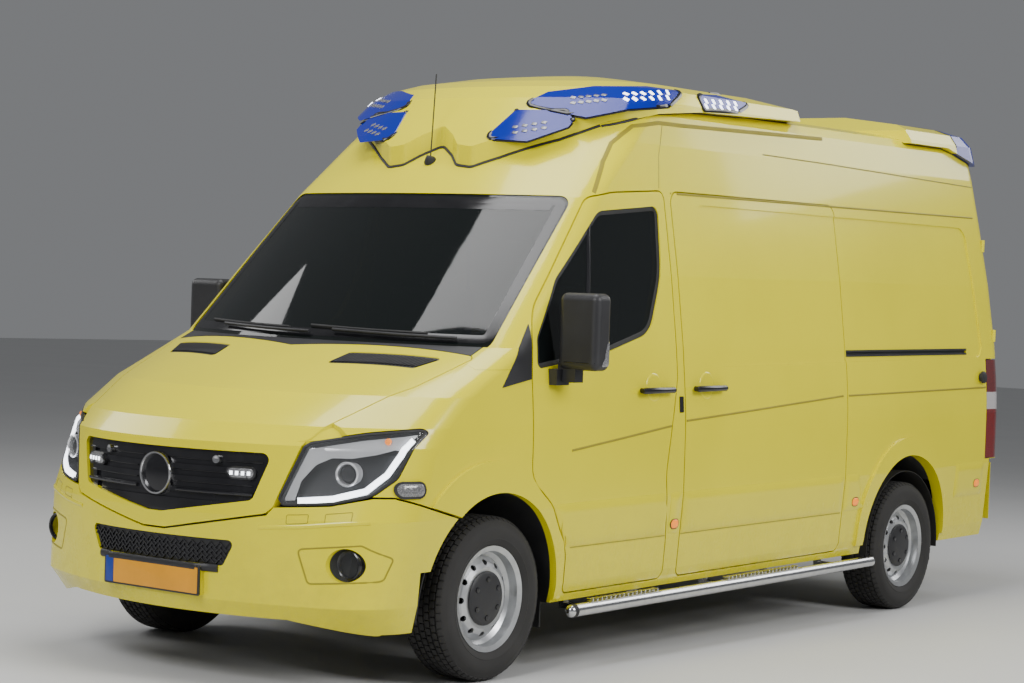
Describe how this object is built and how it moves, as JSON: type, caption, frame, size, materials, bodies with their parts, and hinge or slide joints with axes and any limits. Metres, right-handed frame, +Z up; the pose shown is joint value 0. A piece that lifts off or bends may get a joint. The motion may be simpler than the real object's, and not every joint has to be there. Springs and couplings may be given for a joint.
{
  "type": "high-roof panel van ambulance",
  "caption": "High-roof panel van ambulance with hinged bonnet, cab and rear doors, steered front wheels, blue lamp pods on the roof, side steps and a hollow cab and patient space.",
  "frame": {"origin": "on the road, below the middle of the whole vehicle", "axes": "+Y rearwards along the vehicle, +X to the vehicle's left, +Z up; the front faces -Y"},
  "size_m": [2.386, 5.9465, 2.6936],
  "materials": {
    "body_paint": "bright yellow gloss paint",
    "inner_paint": "pale grey satin paint",
    "black_plastic": "grained black moulding",
    "gloss_black": "gloss black moulding",
    "clear_glass": "clear glass",
    "dark_glass": "dark privacy glass",
    "lamp_dark": "grey lamp housing",
    "lamp_clear": "clear lamp lens",
    "lamp_red": "red and clear lamp lens",
    "lamp_blue": "blue tinted lens",
    "steel_silver": "silver painted steel",
    "stainless": "polished stainless tube",
    "tyre": "black rubber",
    "rubber": "black rubber",
    "dark_metal": "black underbody metal",
    "alloy": "bare cast metal",
    "cab_plastic": "dark grey cab moulding",
    "cab_fabric": "dark woven cover"
  },
  "bodies": {
    "vehicle_body": {"roof": "body_paint", "side_walls": "body_paint", "floor_pan": "inner_paint", "front_wings": "body_paint", "scuttle": "black_plastic", "windscreen": "clear_glass", "bumper_front": "body_paint", "bumper_grille": "black_plastic", "fog_lamps": "lamp_clear", "headlamps": "lamp_dark", "headlamp_lenses": "lamp_clear", "bulkhead": "inner_paint", "dashboard": "cab_plastic", "cab_seats": "cab_fabric", "sliding_doors": "body_paint", "slider_rails": "black_plastic", "bumper_rear": "body_paint", "rear_step": "stainless", "tail_lamps": "lamp_red", "roof_pod_front": "body_paint", "roof_pod_rear": "body_paint", "blue_lenses": "lamp_blue", "aerial": "rubber", "side_steps": "stainless", "wheel_liners": "black_plastic", "mud_flaps": "rubber", "chassis_rails": "dark_metal", "engine_block": "alloy", "driveline": "dark_metal", "fuel_tank": "black_plastic", "exhaust": "stainless", "front_subframe": "dark_metal", "rear_axle": "dark_metal"},
    "bonnet": {"bonnet": "body_paint", "grille": "gloss_black", "bonnet_vents": "black_plastic"},
    "front_door_left": {"front_door_left": "body_paint", "door_glass_left": "clear_glass", "mirror_left": "black_plastic"},
    "front_door_right": {"front_door_right": "body_paint", "door_glass_right": "clear_glass", "mirror_right": "black_plastic"},
    "rear_door_left": {"rear_door_left": "body_paint", "rear_glass_left": "dark_glass"},
    "rear_door_right": {"rear_door_right": "body_paint", "rear_glass_right": "dark_glass"},
    "knuckle_left": {"knuckle_left": "dark_metal"},
    "knuckle_right": {"knuckle_right": "dark_metal"},
    "wheel_front_left": {"rim_front_left": "steel_silver", "tyre_front_left": "tyre"},
    "wheel_front_right": {"rim_front_right": "steel_silver", "tyre_front_right": "tyre"},
    "wheel_rear_left": {"rim_rear_left": "steel_silver", "tyre_rear_left": "tyre"},
    "wheel_rear_right": {"rim_rear_right": "steel_silver", "tyre_rear_right": "tyre"},
    "steering_wheel": {"steering_wheel": "cab_plastic"}
  },
  "joints": [
    {"name": "bonnet_hinge", "type": "hinge", "parent": "vehicle_body", "child": "bonnet", "pos_m": [0, -2.01772, 1.36934], "axis": [1, 0, 0], "range_deg": [-60, 0]},
    {"name": "front_door_left_hinge", "type": "hinge", "parent": "vehicle_body", "child": "front_door_left", "pos_m": [0.98, -1.74158, 1.00316], "axis": [0, -0.014, 0.9999], "range_deg": [-70, 0]},
    {"name": "front_door_right_hinge", "type": "hinge", "parent": "vehicle_body", "child": "front_door_right", "pos_m": [-0.98, -1.74158, 1.00316], "axis": [0, -0.014, 0.9999], "range_deg": [0, 70]},
    {"name": "rear_door_left_hinge", "type": "hinge", "parent": "vehicle_body", "child": "rear_door_left", "pos_m": [0.892, 2.83997, 1.06713], "axis": [0, -0.014, 0.9999], "range_deg": [-180, 0]},
    {"name": "rear_door_right_hinge", "type": "hinge", "parent": "vehicle_body", "child": "rear_door_right", "pos_m": [-0.892, 2.83997, 1.06713], "axis": [0, -0.014, 0.9999], "range_deg": [0, 180]},
    {"name": "steer_left", "type": "hinge", "parent": "vehicle_body", "child": "knuckle_left", "pos_m": [0.79, -1.9606, 0.342], "axis": [0, 0, 1], "range_deg": [-35, 35]},
    {"name": "steer_right", "type": "hinge", "parent": "vehicle_body", "child": "knuckle_right", "pos_m": [-0.79, -1.9606, 0.342], "axis": [0, 0, 1], "range_deg": [-35, 35]},
    {"name": "steering_wheel_turn", "type": "hinge", "parent": "vehicle_body", "child": "steering_wheel", "pos_m": [0.42, -1.47719, 1.19187], "axis": [0, 0.518, 0.8554], "range_deg": [-490, 490]},
    {"name": "spin_front_left", "type": "hinge", "parent": "knuckle_left", "child": "wheel_front_left", "pos_m": [0.855, -1.9606, 0.342], "axis": [1, 0, 0], "continuous": true},
    {"name": "spin_front_right", "type": "hinge", "parent": "knuckle_right", "child": "wheel_front_right", "pos_m": [-0.855, -1.9606, 0.342], "axis": [1, 0, 0], "continuous": true},
    {"name": "spin_rear_left", "type": "hinge", "parent": "vehicle_body", "child": "wheel_rear_left", "pos_m": [0.855, 1.7044, 0.342], "axis": [1, 0, 0], "continuous": true},
    {"name": "spin_rear_right", "type": "hinge", "parent": "vehicle_body", "child": "wheel_rear_right", "pos_m": [-0.855, 1.7044, 0.342], "axis": [1, 0, 0], "continuous": true}
  ],
  "couplings": [
    {"joint": "steer_right", "follows": "steer_left", "ratio": 1},
    {"joint": "steering_wheel_turn", "follows": "steer_left", "ratio": 14}
  ]
}
